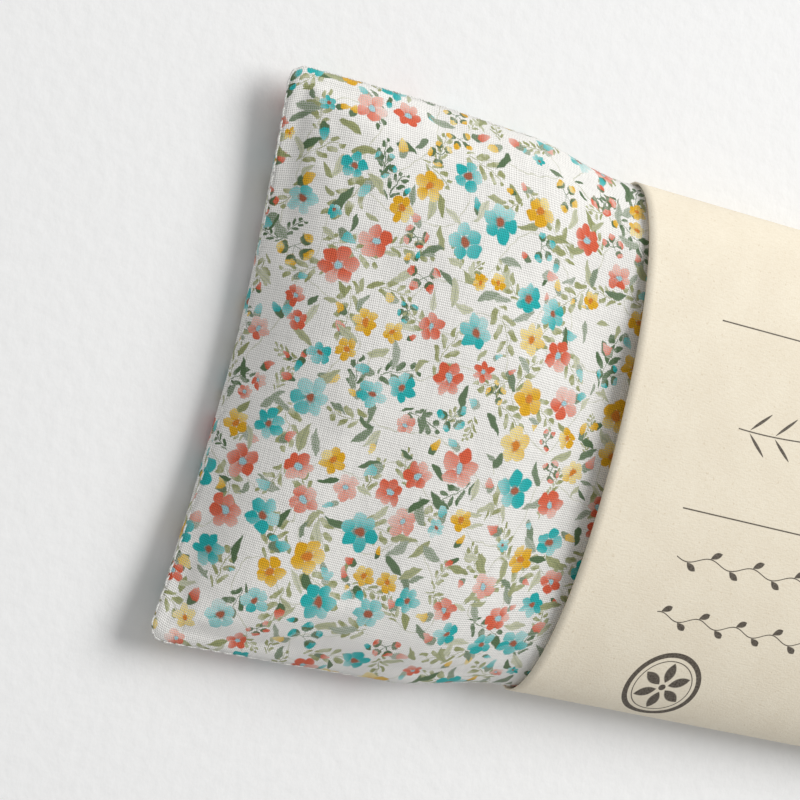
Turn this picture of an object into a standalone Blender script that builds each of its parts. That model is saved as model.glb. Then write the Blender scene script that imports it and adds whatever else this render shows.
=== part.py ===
"""Eye pillow: a flat cotton pillow filled with linseed and lavender, worn in a paper belly band.

Metres, +Z up.  X runs along the pillow, Y across it.  The origin is on the surface that the
object lies on, under the middle of the pillow.  The band can be slid off either end along X.
"""
import math

import bpy

# Pillow, seam to seam
LENGTH = 0.245            # over the short ends, before their corners are blunted
END_WIDTH = 0.107         # over the corners, at the short ends
WAIST_WIDTH = 0.0982      # where the band holds it
END_HOLLOW = 0.005        # how far the middle of a short end falls short of its corners
CORNER_POWER = 16.0       # of the superellipse that blunts the corners
WAIST_HALF = 0.0468       # the waist keeps its width as far as this from the middle
FLARE_END = 0.064         # and has the full end width from here on

# Pillow, heights above the surface it lies on
SEAM_HEIGHT = 0.0071
TOP_HEIGHT = 0.0225       # crest of the top
DIP_DEPTH = 0.0022        # the crest sinks by this much beside the band
DIP_AT = 0.050
DIP_WIDTH = 0.014
BAND_RECESS = 0.0021      # the underside is this far up under the band
TOP_ACROSS = (2.2, 0.55)  # powers of the top's section across the pillow
TOP_ALONG = (5.0, 0.55)   # and along it
BOTTOM_POWERS = (7.0, 0.5)
BOTTOM_FLAT = 1.2         # overshoot of the underside that is cut off flat
RIM_POWER = 24.0          # how sharply both faces close on the seam

# Cloth, threads and gaps
CLOTH = 0.0005
CLEARANCE = 0.0003
FILL_CLEARANCE = 0.001    # between the seeds and the cloth, whose facets differ
ALLOWANCE = 0.007         # turned-in seam allowance
THREAD_RADIUS = 0.0002
THREAD_INSET = 0.0015     # of the seam stitching from the edge
SEAM_GAP = 0.0011         # between the two allowances, for the thread
OPENING_HALF = 0.030      # half of the filling opening, which is closed by hand
SLIP_STITCHES = 12
SLIP_REACH = 0.001        # of a slip stitch above and below the seam

# Belly band
BAND_LENGTH = 0.090       # along X
BAND_WIDTH = 0.100
BAND_HEIGHT = 0.0234
BAND_SIDE_HEIGHT = 0.0071  # where its sides stand upright
BAND_FLAT_HALF = 0.034    # the underside is flat as far as this from the middle
PAPER = 0.0004
OVERLAP_HALF = 0.012      # the two ends overlap this far each side of the middle
STEP_START = 0.021        # the inner end starts to climb over the outer one
STEP_END = 0.0135
TAPE = (0.086, 0.016, 0.0003)  # length, width and thickness of the adhesive strip

# How far out the seeds' two faces go before they turn in, and where they end
FILL_REACH = 0.93
FILL_EDGE = 0.95

# How finely the soft pieces and the band are divided
STEPS_ALONG = 12
STEPS_ACROSS = 7
BAND_FLAT_STEPS = 4
BAND_TURN_STEPS = 8
BAND_TOP_STEPS = 32
BAND_CLIMB_STEPS = 6


def clear_scene():
    for old in list(bpy.data.objects):
        bpy.data.objects.remove(old, do_unlink=True)


def make_material(name, colour, roughness, metallic=0.0):
    material = bpy.data.materials.new(name)
    material.use_nodes = True
    shader = material.node_tree.nodes["Principled BSDF"]
    shader.inputs["Base Color"].default_value = (*colour, 1.0)
    shader.inputs["Roughness"].default_value = roughness
    shader.inputs["Metallic"].default_value = metallic
    return material


def add_object(name, data, material):
    data.materials.append(material)
    piece = bpy.data.objects.new(name, data)
    bpy.context.collection.objects.link(piece)
    return piece


def smoothstep(start, end, value):
    t = min(max((value - start) / (end - start), 0.0), 1.0)
    return t * t * (3.0 - 2.0 * t)


def bulge(value, powers):
    """A section from 1 in the middle to 0 at value 1."""
    return max(0.0, 1.0 - abs(value) ** powers[0]) ** powers[1]


# The pillow is laid out in unit coordinates: p along it and q across it, both from -1 to 1.

def spread(steps):
    """Values from -1 to 1, closer together towards both ends."""
    return [math.sin(math.pi / 2.0 * k / steps) for k in range(-steps, steps + 1)]


def blunted(p, q):
    """Move a point of the unit square so that the square's corners come out blunt."""
    norm = (abs(p) ** CORNER_POWER + abs(q) ** CORNER_POWER) ** (1.0 / CORNER_POWER)
    scale = max(abs(p), abs(q)) / norm if norm else 1.0
    return p * scale, q * scale


def unit_grid():
    return [[blunted(p, q) for p in spread(STEPS_ALONG)] for q in spread(STEPS_ACROSS)]


def edge_loop(grid):
    """The grid's outer points, once round, counterclockwise from above."""
    loop = grid[0] + [row[-1] for row in grid[1:]]
    loop += grid[-1][-2::-1] + [row[0] for row in grid[-2:0:-1]]
    return loop


def half_length(q):
    return LENGTH / 2.0 - END_HOLLOW * (1.0 - q * q)


def half_width(p):
    flare = smoothstep(WAIST_HALF, FLARE_END, abs(p) * LENGTH / 2.0)
    return (WAIST_WIDTH + (END_WIDTH - WAIST_WIDTH) * flare) / 2.0


def plan(p, q, inset=0.0):
    """World x and y of a unit point, drawn in towards the middle by inset."""
    x = p * (half_length(q) - inset)
    y = q * (half_width(p) - inset)
    return x, y


def rim(ring):
    return math.sqrt(max(0.0, 1.0 - ring ** RIM_POWER))


def top_height(p, q, ring):
    """Height of the cotton's outer face above the seam."""
    beside_band = (abs(p) * LENGTH / 2.0 - DIP_AT) / DIP_WIDTH
    crest = TOP_HEIGHT - DIP_DEPTH * math.exp(-beside_band ** 2) - SEAM_HEIGHT - SEAM_GAP / 2.0
    return crest * bulge(q, TOP_ACROSS) * bulge(p, TOP_ALONG) * rim(ring)


def bottom_depth(p, q, ring):
    """Depth of the cotton's underside below the seam."""
    under_band = 1.0 - smoothstep(WAIST_HALF, WAIST_HALF + DIP_WIDTH, abs(p) * LENGTH / 2.0)
    deepest = SEAM_HEIGHT - BAND_RECESS * under_band - SEAM_GAP / 2.0
    shape = BOTTOM_FLAT * bulge(q, BOTTOM_POWERS) * bulge(p, BOTTOM_POWERS)
    return deepest * min(1.0, shape) * rim(ring)


def surface(side, reach, inset, skin):
    """A grid of points on a panel's face, out to reach, inset in plan and skin deep in it."""
    height = top_height if side > 0 else bottom_depth
    grid = []
    for row in unit_grid():
        points = []
        for p, q in row:
            ring = max(abs(p), abs(q)) * reach
            rise = SEAM_GAP / 2.0 + height(p * reach, q * reach, ring) - skin
            x, y = plan(p * reach, q * reach, inset)
            points.append((x, y, SEAM_HEIGHT + side * rise))
        grid.append(points)
    return grid


def level_ring(reach, inset, rise):
    """The seam line, scaled by reach and drawn in by inset, at a rise above the seam."""
    return [(*plan(p * reach, q * reach, inset), SEAM_HEIGHT + rise)
            for p, q in edge_loop(unit_grid())]


def grid_faces(numbers, turned):
    """Quads of a grid of vertex numbers, facing up, or down when turned."""
    faces = []
    for low, high in zip(numbers, numbers[1:]):
        for k in range(len(low) - 1):
            face = (low[k], low[k + 1], high[k + 1], high[k])
            faces.append(face[::-1] if turned else face)
    return faces


def add_soft(name, material, first, rings, last=None, turned=False):
    """Skin a grid of points, the rings that follow its edge and, to close it, a last grid."""
    points = []

    def number(row):
        points.extend(row)
        return list(range(len(points) - len(row), len(points)))

    grid = [number(row) for row in first]
    faces = grid_faces(grid, turned)
    loops = [edge_loop(grid)] + [number(ring) for ring in rings]
    if last is not None:
        grid = [number(row) for row in last]
        faces += grid_faces(grid, True)
        loops.append(edge_loop(grid))
    for inner, outer in zip(loops, loops[1:]):
        for k in range(len(inner)):
            face = (inner[k - 1], outer[k - 1], outer[k], inner[k])
            faces.append(face[::-1] if turned else face)
    mesh = bpy.data.meshes.new(name)
    mesh.from_pydata(points, [], faces)
    mesh.shade_smooth()
    return add_object(name, mesh, material)


def add_panel(name, material, side):
    """One cotton panel with its turned-in seam allowance: side is 1 for front, -1 for back."""
    allowance = level_ring(1.0, ALLOWANCE, side * SEAM_GAP / 2.0)
    panel = add_soft(name, material, surface(side, 1.0, 0.0, 0.0), [allowance], turned=side < 0)
    thickness = panel.modifiers.new("cloth thickness", "SOLIDIFY")
    thickness.thickness = CLOTH
    thickness.offset = -1.0
    thickness.use_even_offset = True
    return panel


def add_fill(material):
    """The seeds fill both panels and close round the seam allowances."""
    skin = CLOTH + FILL_CLEARANCE
    shelf = SEAM_GAP / 2.0 + skin
    throat = ALLOWANCE + skin
    rings = [level_ring(FILL_EDGE, skin, shelf), level_ring(1.0, throat, shelf),
             level_ring(1.0, throat, -shelf), level_ring(FILL_EDGE, skin, -shelf)]
    top = surface(1, FILL_REACH, skin, skin)
    bottom = surface(-1, FILL_REACH, skin, skin)
    return add_soft("linseed_lavender_fill", material, top, rings, bottom)


def add_thread(name, material, points):
    curve = bpy.data.curves.new(name, "CURVE")
    curve.dimensions = "3D"
    curve.bevel_depth = THREAD_RADIUS
    curve.bevel_resolution = 1
    curve.use_fill_caps = True
    spline = curve.splines.new("POLY")
    spline.points.add(len(points) - 1)
    for point, place in zip(spline.points, points):
        point.co = (*place, 1.0)
    return add_object(name, curve, material)


def add_seam_thread(material):
    """Machine stitching between the allowances, all round but for the filling opening."""
    loop = level_ring(1.0, THREAD_INSET, 0.0)
    opening_middle = 2 * STEPS_ALONG + STEPS_ACROSS
    loop = loop[opening_middle:] + loop[:opening_middle]
    stitched = [point for point in loop if point[0] < 0.0 or abs(point[1]) > OPENING_HALF]
    return add_thread("seam_thread", material, stitched)


def add_closing_thread(material):
    """Slip stitches across the filling opening, just outside the +X end of the seam."""
    points = []
    for k in range(2 * SLIP_STITCHES + 1):
        q = (k / SLIP_STITCHES - 1.0) * OPENING_HALF / (END_WIDTH / 2.0)
        x = half_length(q) + CLEARANCE + THREAD_RADIUS
        z = SEAM_HEIGHT + (SLIP_REACH if k % 2 else -SLIP_REACH)
        points.append((x, q * END_WIDTH / 2.0, z))
    return add_thread("closing_thread", material, points)


def band_centreline():
    """Section of the paper's middle in Y and Z, from the outer end round to the inner end."""
    half = (BAND_WIDTH - PAPER) / 2.0
    low = PAPER / 2.0
    side = BAND_SIDE_HEIGHT
    lift = 2.0 * PAPER + TAPE[2] + 2.0 * CLEARANCE
    crest = BAND_HEIGHT - PAPER / 2.0 - side
    flat_step = (BAND_FLAT_HALF + OVERLAP_HALF) / BAND_FLAT_STEPS
    line = [(-OVERLAP_HALF + k * flat_step, low) for k in range(BAND_FLAT_STEPS)]
    rising = []
    for k in range(BAND_TURN_STEPS):
        turn = math.pi / 2.0 * k / BAND_TURN_STEPS
        rising.append((BAND_FLAT_HALF + (half - BAND_FLAT_HALF) * math.sin(turn),
                       side - (side - low) * math.cos(turn)))
    line += rising
    for k in range(BAND_TOP_STEPS + 1):
        y = math.cos(math.pi * k / BAND_TOP_STEPS)
        line.append((half * y, side + crest * bulge(y, TOP_ACROSS)))
    line += [(-y, z) for y, z in reversed(rising)]
    inner = lift - low
    for k in range(BAND_CLIMB_STEPS + 1):
        y = -STEP_START + (STEP_START - STEP_END) * k / BAND_CLIMB_STEPS
        line.append((y, low + (inner - low) * smoothstep(-STEP_START, -STEP_END, y)))
    line += [(0.0, inner), (OVERLAP_HALF, inner)]
    return line


def add_band(material):
    line = band_centreline()
    points = []
    for k, (y, z) in enumerate(line):
        before = line[max(k - 1, 0)]
        after = line[min(k + 1, len(line) - 1)]
        dy = after[0] - before[0]
        dz = after[1] - before[1]
        length = math.hypot(dy, dz)
        ny = dz / length * PAPER / 2.0
        nz = -dy / length * PAPER / 2.0
        for x in (-BAND_LENGTH / 2.0, BAND_LENGTH / 2.0):
            points.append((x, y + ny, z + nz))
            points.append((x, y - ny, z - nz))
    faces = []
    for k in range(len(line) - 1):
        a = 4 * k
        b = a + 4
        faces.append((a, b, b + 2, a + 2))
        faces.append((a + 1, a + 3, b + 3, b + 1))
        faces.append((a, a + 1, b + 1, b))
        faces.append((a + 2, b + 2, b + 3, a + 3))
    last = 4 * (len(line) - 1)
    faces.append((0, 2, 3, 1))
    faces.append((last, last + 1, last + 3, last + 2))
    mesh = bpy.data.meshes.new("paper_band")
    mesh.from_pydata(points, [], faces)
    return add_object("paper_band", mesh, material)


def add_tape(material):
    """The strip that sticks the band's inner end on its outer end."""
    low = PAPER + CLEARANCE
    half_x = TAPE[0] / 2.0
    half_y = TAPE[1] / 2.0
    corners = ((-half_x, -half_y), (half_x, -half_y), (half_x, half_y), (-half_x, half_y))
    points = [(x, y, low) for x, y in corners] + [(x, y, low + TAPE[2]) for x, y in corners]
    faces = [(3, 2, 1, 0), (4, 5, 6, 7)]
    faces += [(k, (k + 1) % 4, 4 + (k + 1) % 4, 4 + k) for k in range(4)]
    mesh = bpy.data.meshes.new("band_adhesive_strip")
    mesh.from_pydata(points, [], faces)
    return add_object("band_adhesive_strip", mesh, material)


def main():
    clear_scene()
    cotton = make_material("printed_cotton", (0.78, 0.77, 0.74), 0.85)
    back_cotton = make_material("printed_cotton_back", (0.76, 0.75, 0.72), 0.85)
    thread = make_material("white_thread", (0.82, 0.81, 0.77), 0.6)
    hand_thread = make_material("hand_sewing_thread", (0.80, 0.79, 0.75), 0.6)
    seeds = make_material("linseed_and_lavender", (0.22, 0.12, 0.06), 0.5)
    paper = make_material("cream_paper", (0.80, 0.70, 0.53), 0.8)
    glue = make_material("clear_adhesive", (0.85, 0.83, 0.75), 0.25)
    add_panel("front_panel", cotton, 1)
    add_panel("back_panel", back_cotton, -1)
    add_fill(seeds)
    add_seam_thread(thread)
    add_closing_thread(hand_thread)
    add_band(paper)
    add_tape(glue)


main()
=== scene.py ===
"""The eye pillow's looks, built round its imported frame.

Metres, +Z up.  X runs along the pillow and Y across it, as in the frame.  A sheet's UV map is the
sheet laid flat: u along the pillow and v across it, in metres, with 0 in the middle.
"""

import math

import bpy
import numpy as np
from mathutils import Matrix, Vector, noise


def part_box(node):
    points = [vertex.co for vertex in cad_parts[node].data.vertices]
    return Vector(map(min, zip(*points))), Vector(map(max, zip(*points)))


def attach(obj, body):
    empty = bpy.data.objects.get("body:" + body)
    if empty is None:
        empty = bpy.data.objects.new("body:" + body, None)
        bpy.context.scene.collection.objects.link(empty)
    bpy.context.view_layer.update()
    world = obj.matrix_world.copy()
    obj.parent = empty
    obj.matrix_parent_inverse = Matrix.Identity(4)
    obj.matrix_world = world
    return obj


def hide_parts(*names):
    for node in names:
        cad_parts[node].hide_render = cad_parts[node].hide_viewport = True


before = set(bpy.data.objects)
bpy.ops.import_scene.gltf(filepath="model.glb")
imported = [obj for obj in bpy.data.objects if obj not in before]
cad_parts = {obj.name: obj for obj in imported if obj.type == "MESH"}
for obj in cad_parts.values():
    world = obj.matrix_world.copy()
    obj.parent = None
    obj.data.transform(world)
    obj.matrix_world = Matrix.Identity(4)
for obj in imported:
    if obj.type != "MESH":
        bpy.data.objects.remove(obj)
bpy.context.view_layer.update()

MM = 0.001
PER_METRE = 1000.0  # millimetres
FULL_TURN = 2.0 * math.pi

# Places taken from the frame
FRONT_LOW, FRONT_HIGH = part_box("front_panel")
_, BACK_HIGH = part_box("back_panel")
_, BAND_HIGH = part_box("paper_band")
_, TAPE_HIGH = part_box("band_adhesive_strip")
CLOSING_LOW, CLOSING_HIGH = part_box("closing_thread")
SEAM_Z = (FRONT_LOW.z + BACK_HIGH.z) / 2.0
HALF_LENGTH = FRONT_HIGH.x + 1.0 * MM  # out to the tips of the corners
HALF_WIDTH = FRONT_HIGH.y
CREST = FRONT_HIGH.z
BAND_HALF = BAND_HIGH.x
BAND_HALF_WIDTH = BAND_HIGH.y

# The cotton cover
WAIST = BAND_HALF_WIDTH - 0.8 * MM  # half width where the band holds the pillow
WAIST_END = BAND_HALF + 1.0 * MM
FLARE_FULL = 0.070
END_HOLLOW = 4.4 * MM  # of the short ends, between their corners
CORNER_RADIUS = 4.0 * MM
DIP_DEPTH = 2.8 * MM  # the top sinks beside the band
DIP_AT = BAND_HALF + 4.0 * MM
DIP_WIDTH = 14.0 * MM
TOP_ACROSS = (2.3, 0.52)
TOP_ALONG = (5.0, 0.55)
BOTTOM_POWERS = (8.0, 0.5)
BOTTOM_FLAT = 1.25
BAND_RECESS = 1.9 * MM
CLOTH = 0.3 * MM
FLAT_HALF_LENGTH = 0.126  # of a panel laid flat, seam to seam
FLAT_HALF_WIDTH = 0.058
GRID_ALONG = 121
GRID_ACROSS = 57

# How the sewn cover settles on its seeds
SIM_SCALE = 10.0  # the cloth solver works best on larger things
SIM_FRAMES = 24
SIM_FLOOR_HALF = 2.0
SIM_CONTACT = 0.004  # the gap kept to solid things, in the solver's scale
SIM_COLLIDER_DEPTH = 0.05
SIM_FRICTION = 8.0
SIM_CLOTH = {
    "quality": 5,
    "mass": 0.25,
    "tension_stiffness": 25.0,
    "compression_stiffness": 25.0,
    "shear_stiffness": 6.0,
    "bending_stiffness": 0.6,
    "pin_stiffness": 5.0,
    "shrink_min": 0.0,
    "shrink_max": 0.012,  # along the seam
    "use_pressure": True,
    "uniform_pressure_force": 2.0,
}
SIM_GRAVITY = 0.5  # share of the real one
BAND_HOLD = (BAND_HALF - 4.0 * MM, BAND_HALF + 3.0 * MM)  # held up to the first, then let go
SEED_REACH = (0.965, 0.93)  # how far out the seeds go, along and across
SEED_DEPTH = 0.55 * MM  # of their surface under the cover's
SEED_EDGE = 20  # power: how suddenly the seeds end at the seam
THIN_SEEDS = 3.0 * MM  # where they are thinner the lumps fade
FILL_GAP = 0.3 * MM  # between the visible seeds and the cloth
THIN_FILL = 2.0 * MM  # where they are thinner the gap fades
SIDE_OFFSET = 5.0  # between the lump patterns of the two sides
LUMPS = ((0.9 * MM, 26.0 * MM), (0.35 * MM, 11.0 * MM))  # height and size
DENTS = (((-0.098, 0.022), 9.0 * MM, 1.3 * MM),  # middle, radius and depth
         ((-0.088, -0.031), 8.0 * MM, 1.2 * MM),
         ((-0.106, -0.008), 7.0 * MM, 1.0 * MM),
         ((0.093, -0.018), 9.0 * MM, 1.3 * MM),
         ((0.101, 0.027), 7.0 * MM, 1.1 * MM))
CORNER_HOLD = 0.8  # how firmly the turned-out corners keep their shape
CORNER_REACH = 7.0 * MM

# The sewing
STITCH = 2.5 * MM
STITCH_STEPS = 8
THREAD_RADIUS = 0.19 * MM
THREAD_SIDES = 8
THREAD_TAPER = (0.12, 0.3)  # where a stitch's end starts on a sine, and its power
STITCH_INSET = 0.30 * MM  # of a stitch's ends, in from the seam
STITCH_BOW = 0.25 * MM  # of its middle, out from its ends
HAND_SLANT = 0.45 * MM  # of a hand stitch's ends, down and up
HAND_GAP_STEPS = 1  # left out between two hand stitches
CLOSING_MARGIN = 3.0 * MM  # round the closing, along the pillow

REST_GAP = 0.1 * MM  # everything stays this far off the floor

# The belly band
PAPER = 0.3 * MM
OVERLAP_HALF = 12.0 * MM
OVERLAP_CLIMB = (-21.0 * MM, -13.5 * MM)  # where the inner end rises over the outer one
BAND_FLAT_HALF = 0.034
BAND_ACROSS = (2.2, 0.55)
BAND_SECTION_STEPS = {"outer": 40, "turn": 24, "top": 140, "inner": 48}
BAND_SPACING = 1.5 * MM
BAND_STATIONS = 46
BAND_EDGE_POWER = 6
BAND_EDGE_LIFT = 0.35  # millimetres, at the two cut edges of the top
BAND_SINK = 0.1  # millimetres, along the middle of the top
INNER_LIFT = 0.7 * PAPER  # of the inner end's middle over the adhesive


def smoothstep(start, end, value):
    t = np.clip((value - start) / (end - start), 0.0, 1.0)
    return t * t * (3.0 - 2.0 * t)


def bulge(value, powers):
    """A section from 1 in the middle to 0 at value 1."""
    return np.clip(1.0 - np.abs(value) ** powers[0], 0.0, 1.0) ** powers[1]


def add_mesh(name, points, faces, layers=()):
    """An object from points and faces, with UV layers given as (name, one pair per point)."""
    mesh = bpy.data.meshes.new(name)
    mesh.from_pydata([tuple(p) for p in points], [], faces)
    corners = np.empty(len(mesh.loops), dtype=np.int64)
    mesh.loops.foreach_get("vertex_index", corners)
    for layer_name, pairs in layers:
        layer = mesh.uv_layers.new(name=layer_name)
        layer.data.foreach_set("uv", np.asarray(pairs, dtype=np.float32)[corners].ravel())
    mesh.shade_smooth()
    piece = bpy.data.objects.new(name, mesh)
    bpy.context.collection.objects.link(piece)
    return piece


def square(half):
    """The corners of a level square on the ground."""
    return [(-half, -half, 0.0), (half, -half, 0.0), (half, half, 0.0), (-half, half, 0.0)]


def grid_quads(columns, rows, turned=False):
    """Quads over a grid numbered row by row, facing up, or down when turned."""
    faces = []
    for j in range(rows - 1):
        for i in range(columns - 1):
            a = j * columns + i
            face = (a, a + 1, a + columns + 1, a + columns)
            faces.append(face[::-1] if turned else face)
    return faces


# ---------------- cotton cover

def plan_position(p, q):
    """World x and y of the cover at unit coordinates p and q, before its corners are rounded."""
    x = p * (HALF_LENGTH - END_HOLLOW * (1.0 - q * q))
    flare = smoothstep(WAIST_END, FLARE_FULL, np.abs(x))
    y = q * (WAIST + (HALF_WIDTH - WAIST) * flare)
    return x, y


def round_corners(x, y, half_x, half_y):
    """Draw the points in the four corner squares in to a quarter circle."""
    a = np.clip((np.abs(x) - half_x + CORNER_RADIUS) / CORNER_RADIUS, 0.0, 1.0)
    b = np.clip((np.abs(y) - half_y + CORNER_RADIUS) / CORNER_RADIUS, 0.0, 1.0)
    moved_a = a * np.sqrt(1.0 - b * b / 2.0)
    moved_b = b * np.sqrt(1.0 - a * a / 2.0)
    return (x + np.sign(x) * (moved_a - a) * CORNER_RADIUS,
            y + np.sign(y) * (moved_b - b) * CORNER_RADIUS)


def cover_points(p, q, side):
    """The cover's surface: side is 1 for the top and -1 for the underside."""
    x, y = plan_position(p, q)
    half_x = HALF_LENGTH - END_HOLLOW * (1.0 - q * q)
    half_y = np.abs(y) / np.maximum(np.abs(q), 1e-6)
    half_y = np.where(np.abs(q) < 1e-6, HALF_WIDTH, half_y)
    if side > 0:
        beside = (np.abs(x) - DIP_AT) / DIP_WIDTH
        crest = CREST - DIP_DEPTH * np.exp(-beside ** 2) - SEAM_Z
        rise = crest * bulge(q, TOP_ACROSS) * bulge(p, TOP_ALONG)
    else:
        under_band = 1.0 - smoothstep(WAIST_END, WAIST_END + DIP_WIDTH, np.abs(x))
        deepest = SEAM_Z - BAND_RECESS * under_band
        shape = BOTTOM_FLAT * bulge(q, BOTTOM_POWERS) * bulge(p, BOTTOM_POWERS)
        rise = -deepest * np.minimum(1.0, shape)
    x, y = round_corners(x, y, half_x, half_y)
    return np.stack([x, y, SEAM_Z + rise], axis=-1)


def spaced(count):
    """Values from -1 to 1, closer together towards both ends."""
    even = np.linspace(-1.0, 1.0, count)
    return 0.5 * even + 0.5 * np.sin(even * math.pi / 2.0)


def share_of_arc(grid, axis):
    """How far each point lies along its row, measured over the surface: -1 to 1."""
    steps = np.linalg.norm(np.diff(grid, axis=axis), axis=-1)
    arc = np.concatenate([np.zeros_like(steps.take([0], axis)), np.cumsum(steps, axis)], axis)
    return 2.0 * arc / arc.take([-1], axis) - 1.0


def laid_flat(points):
    """Where a panel's points lie when its cloth is flat: the threads keep their spacing."""
    grid = points.reshape(GRID_ACROSS, GRID_ALONG, 3)
    along = share_of_arc(grid, 1) * FLAT_HALF_LENGTH
    across = share_of_arc(grid, 0) * FLAT_HALF_WIDTH
    return np.stack([along.ravel(), across.ravel()], axis=-1)


def unit_grid():
    q, p = np.meshgrid(spaced(GRID_ACROSS), spaced(GRID_ALONG), indexing="ij")
    return p.ravel(), q.ravel()


def unevenness(x, y, side):
    """How far the seeds stand above their even surface."""
    height = 0.0
    for amount, size in LUMPS:
        height += amount * noise.noise(Vector((x / size, y / size, side * SIDE_OFFSET)))
    for (at_x, at_y), radius, depth in DENTS:
        away = ((x - at_x) ** 2 + (y - at_y) ** 2) / radius ** 2
        height -= depth * math.exp(-away)
    return height


def seed_points(p, q, side):
    """The surface of the seeds, which stop short of the seam and lie a little unevenly."""
    edge = np.maximum(np.abs(p), np.abs(q))
    points = cover_points(p * SEED_REACH[0], q * SEED_REACH[1], side)
    rise = (points[:, 2] - SEAM_Z) * np.sqrt(np.clip(1.0 - edge ** SEED_EDGE, 0.0, 1.0))
    for k, (x, y, _) in enumerate(points):
        shift = unevenness(x, y, side) - SEED_DEPTH
        rise[k] += side * shift * min(1.0, abs(rise[k]) / THIN_SEEDS)
    points[:, 2] = SEAM_Z + rise
    return points


def sewn_numbers():
    """For every grid point of each panel, its vertex in the sewn cover: the seam is shared."""
    count = GRID_ALONG * GRID_ACROSS
    top = np.arange(count)
    column = top % GRID_ALONG
    row = top // GRID_ALONG
    on_seam = (column == 0) | (column == GRID_ALONG - 1) | (row == 0) | (row == GRID_ACROSS - 1)
    under = top.copy()
    under[~on_seam] = count + np.arange(int((~on_seam).sum()))
    return top, under, on_seam


def closed_mesh(name, top_points, under_points):
    """Both panels' grids as one closed mesh, in the solver's scale."""
    top, under, on_seam = sewn_numbers()
    points = np.concatenate([top_points, under_points[~on_seam]]) * SIM_SCALE
    faces = grid_quads(GRID_ALONG, GRID_ACROSS)
    faces += [tuple(int(under[k]) for k in face)
              for face in grid_quads(GRID_ALONG, GRID_ACROSS, turned=True)]
    return add_mesh(name, points, faces)


def hold_weights(points):
    """How firmly each point is pinned: fully under the band, softly at the four corners."""
    x = np.abs(points[:, 0])
    under_band = 1.0 - smoothstep(*BAND_HOLD, x)
    to_corner = np.hypot(HALF_LENGTH - x, HALF_WIDTH - np.abs(points[:, 1]))
    at_corner = CORNER_HOLD * (1.0 - smoothstep(0.0, CORNER_REACH, to_corner))
    return np.maximum(under_band, at_corner)


def make_solid(piece):
    """Let the cloth rest on a piece."""
    piece.modifiers.new("solid", "COLLISION")
    piece.collision.thickness_outer = SIM_CONTACT
    piece.collision.thickness_inner = SIM_COLLIDER_DEPTH
    piece.collision.cloth_friction = SIM_FRICTION


def make_cloth(cover, held, seam):
    """Turn the cover into cloth, pinned by one vertex group and drawn in along the other."""
    cloth = cover.modifiers.new("cotton", "CLOTH")
    for name, value in SIM_CLOTH.items():
        setattr(cloth.settings, name, value)
    cloth.settings.vertex_group_mass = held.name
    cloth.settings.vertex_group_shrink = seam.name
    cloth.settings.effector_weights.gravity = SIM_GRAVITY
    cloth.collision_settings.distance_min = SIM_CONTACT
    cloth.collision_settings.collision_quality = 2
    cloth.point_cache.frame_start = 1
    cloth.point_cache.frame_end = SIM_FRAMES


def settled_points(cover):
    """Run the simulation and read the cover's points back, in metres."""
    scene = bpy.context.scene
    for step in range(1, SIM_FRAMES + 1):
        scene.frame_set(step)
    settled = cover.evaluated_get(bpy.context.evaluated_depsgraph_get())
    points = np.empty(len(settled.data.vertices) * 3, dtype=np.float32)
    settled.data.vertices.foreach_get("co", points)
    points = points.reshape(-1, 3).astype(float) / SIM_SCALE
    points[:, 2] = np.maximum(points[:, 2], REST_GAP)
    return points


def settle_cover():
    """Let the sewn bag shrink and settle on its seeds, and return the grids of both panels."""
    p, q = unit_grid()
    shapes = [cover_points(p, q, side) for side in (1, -1)]
    top, under, on_seam = sewn_numbers()
    cover = closed_mesh("settling_cover", *shapes)
    held = cover.vertex_groups.new(name="held")
    seam = cover.vertex_groups.new(name="seam")
    weights = hold_weights(np.concatenate([shapes[0], shapes[1][~on_seam]]))
    for k, weight in enumerate(weights):
        held.add([k], float(weight), "REPLACE")
    seam.add([int(k) for k in top[on_seam]], 1.0, "REPLACE")
    seeds = closed_mesh("settling_seeds", *[seed_points(p, q, side) for side in (1, -1)])
    floor = add_mesh("settling_floor", square(SIM_FLOOR_HALF), [(0, 1, 2, 3)])
    for solid in (seeds, floor):
        make_solid(solid)
    make_cloth(cover, held, seam)
    points = settled_points(cover)
    for temporary in (cover, seeds, floor):
        bpy.data.objects.remove(temporary, do_unlink=True)
    bpy.context.scene.frame_set(1)
    return [points[top], points[under]]


def make_fill():
    """The seeds inside, which stop just short of the cloth."""
    p, q = unit_grid()
    sides = []
    for side in (1, -1):
        points = seed_points(p, q, side)
        fade = np.minimum(1.0, np.abs(points[:, 2] - SEAM_Z) / THIN_FILL)
        points[:, 2] -= side * (CLOTH + FILL_GAP) * fade
        sides.append(points / SIM_SCALE)
    return closed_mesh("seed_fill", *sides)


def make_panel(name, side, points):
    faces = grid_quads(GRID_ALONG, GRID_ACROSS, turned=side < 0)
    panel = add_mesh(name, points, faces, [("cloth", laid_flat(points))])
    finer = panel.modifiers.new("finer", "SUBSURF")
    finer.levels = finer.render_levels = 1
    finer.boundary_smooth = "PRESERVE_CORNERS"
    thickness = panel.modifiers.new("cloth thickness", "SOLIDIFY")
    thickness.thickness = CLOTH
    thickness.offset = -1.0
    return panel


# ---------------- sewing

def seam_line(points):
    """The seam all round the cover, from a panel's grid of points."""
    grid = points.reshape(GRID_ACROSS, GRID_ALONG, 3)
    right_round = [grid[0, :-1], grid[:-1, -1]]
    left_round = [grid[-1, :0:-1], grid[:0:-1, 0], grid[:1, 0]]
    return np.concatenate(right_round + left_round)


def in_closing(point):
    """Whether a point of the seam lies in the gap that is sewn up by hand."""
    return (CLOSING_LOW.x - CLOSING_MARGIN < point[0] < CLOSING_HIGH.x + CLOSING_MARGIN
            and CLOSING_LOW.y < point[1] < CLOSING_HIGH.y)


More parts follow.
